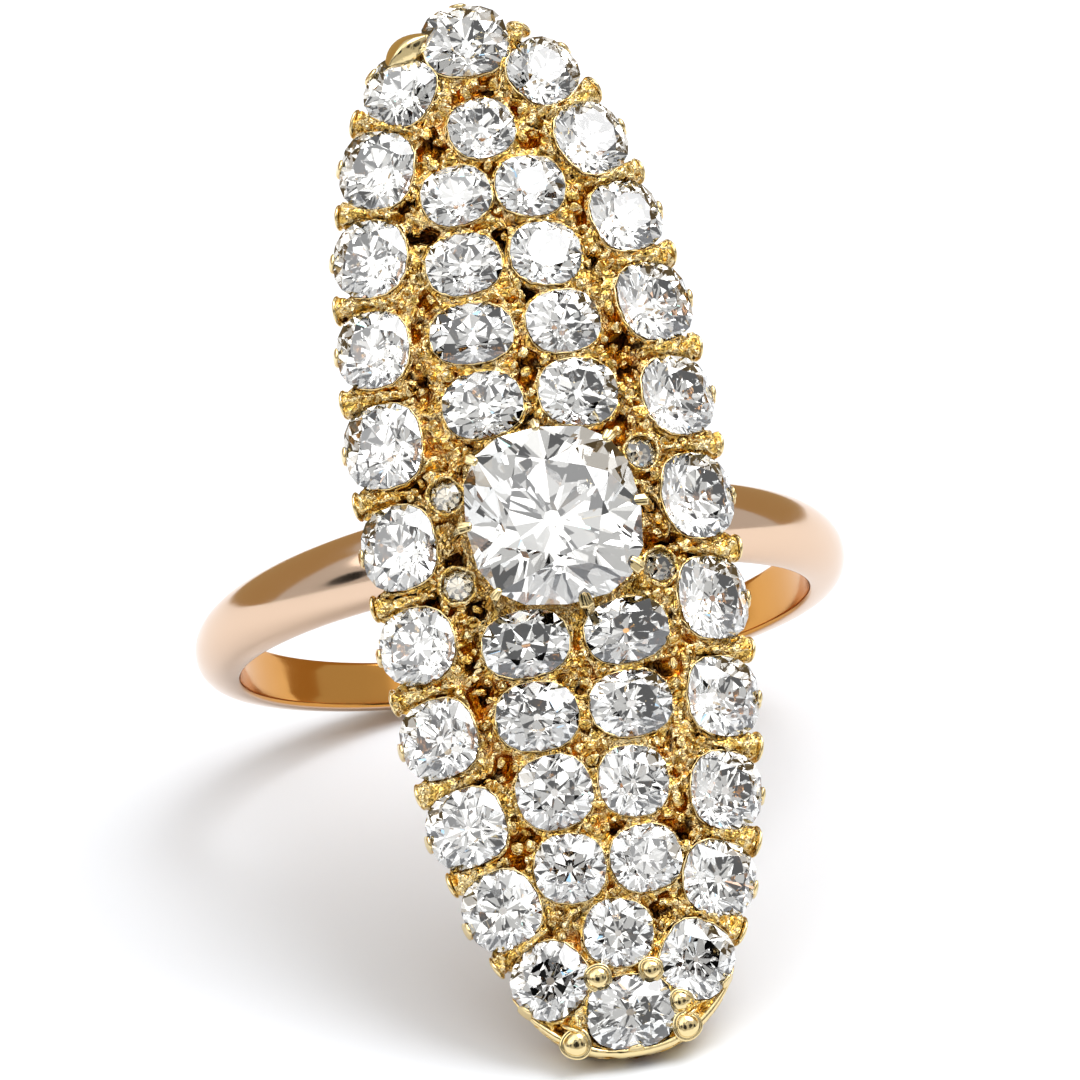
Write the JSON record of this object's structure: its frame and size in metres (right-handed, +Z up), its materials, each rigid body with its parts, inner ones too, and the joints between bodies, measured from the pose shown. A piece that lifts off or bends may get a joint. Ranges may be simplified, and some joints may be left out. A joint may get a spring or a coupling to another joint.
{
  "type": "diamond ring",
  "caption": "Navette cluster ring: a long domed gold head set all over with old cut stones round a large cushion-shaped one, on a slim half-round band.",
  "frame": {"origin": "bottom centre of the box round the resting ring, on the surface that it rests on", "axes": "+Z up from the surface; X across the ring, from shoulder to shoulder; -Y towards the lower tip of the head, on which the ring leans"},
  "size_m": [0.0198, 0.0258, 0.0253],
  "materials": {
    "rose_gold": "polished",
    "yellow_gold": "polished, cut with a graver",
    "diamond": "faceted"
  },
  "bodies": {
    "root": {"shank": "rose_gold", "setting": "yellow_gold", "centre_stone": "diamond", "rim_stone_01": "diamond", "rim_stone_02": "diamond", "rim_stone_03": "diamond", "rim_stone_04": "diamond", "rim_stone_05": "diamond", "rim_stone_06": "diamond", "rim_stone_07": "diamond", "rim_stone_08": "diamond", "rim_stone_09": "diamond", "rim_stone_10": "diamond", "rim_stone_11": "diamond", "rim_stone_12": "diamond", "rim_stone_13": "diamond", "rim_stone_14": "diamond", "rim_stone_15": "diamond", "rim_stone_16": "diamond", "rim_stone_17": "diamond", "rim_stone_18": "diamond", "rim_stone_19": "diamond", "rim_stone_20": "diamond", "rim_stone_21": "diamond", "rim_stone_22": "diamond", "rim_stone_23": "diamond", "rim_stone_24": "diamond", "upper_stone_1": "diamond", "upper_stone_2": "diamond", "upper_stone_3": "diamond", "upper_stone_4": "diamond", "upper_stone_5": "diamond", "upper_stone_6": "diamond", "upper_stone_7": "diamond", "upper_stone_8": "diamond", "upper_stone_9": "diamond", "lower_stone_1": "diamond", "lower_stone_2": "diamond", "lower_stone_3": "diamond", "lower_stone_4": "diamond", "lower_stone_5": "diamond", "lower_stone_6": "diamond", "lower_stone_7": "diamond", "lower_stone_8": "diamond", "lower_stone_9": "diamond", "small_stone_1": "diamond", "small_stone_2": "diamond", "small_stone_3": "diamond", "small_stone_4": "diamond"}
  },
  "joints": []
}
